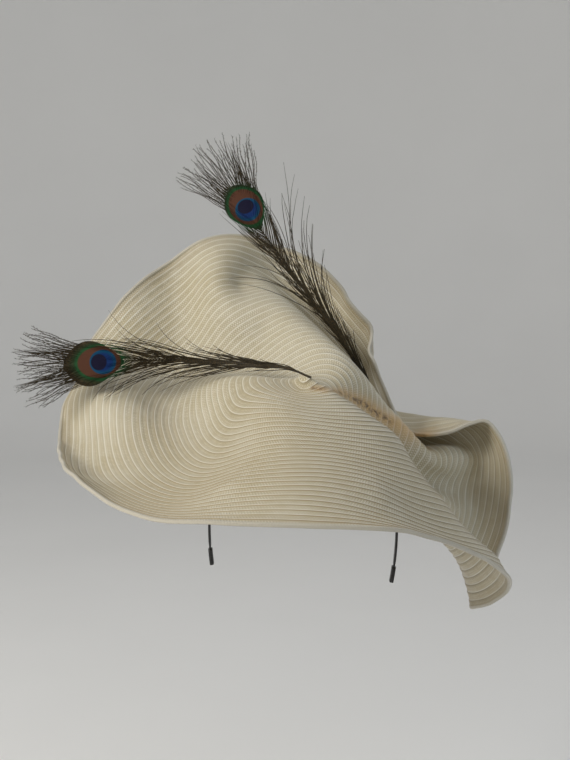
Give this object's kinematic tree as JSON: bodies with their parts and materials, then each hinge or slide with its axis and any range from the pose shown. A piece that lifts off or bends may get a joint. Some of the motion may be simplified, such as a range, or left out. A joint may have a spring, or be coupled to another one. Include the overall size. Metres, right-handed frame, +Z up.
{
  "type": "fascinator",
  "caption": "Straw fascinator: a round of cream braid folded into lobes and a tail, with peacock eye feathers in its folds, on a thin black headband.",
  "frame": {"origin": "top of the head, under the middle of the headband, where the head holds the part up", "axes": "+Z up, +Y towards the wearer's back, +X towards the tail, which is the wearer's left"},
  "size_m": [0.4106, 0.3893, 0.3796],
  "materials": {
    "straw_braid": "pearly woven straw braid in sewn rows, cream to pale tan",
    "peacock_barbs": "dark bronze green barbs with a blue, turquoise and bronze eye",
    "band_satin": "black satin over a thin band",
    "band_cap": "matte black"
  },
  "bodies": {
    "root": {"straw_disc": "straw_braid", "feather_left": "peacock_barbs", "feather_upper": "peacock_barbs", "headband": "band_satin", "headband_end_left": "band_cap", "headband_end_right": "band_cap"}
  },
  "joints": []
}
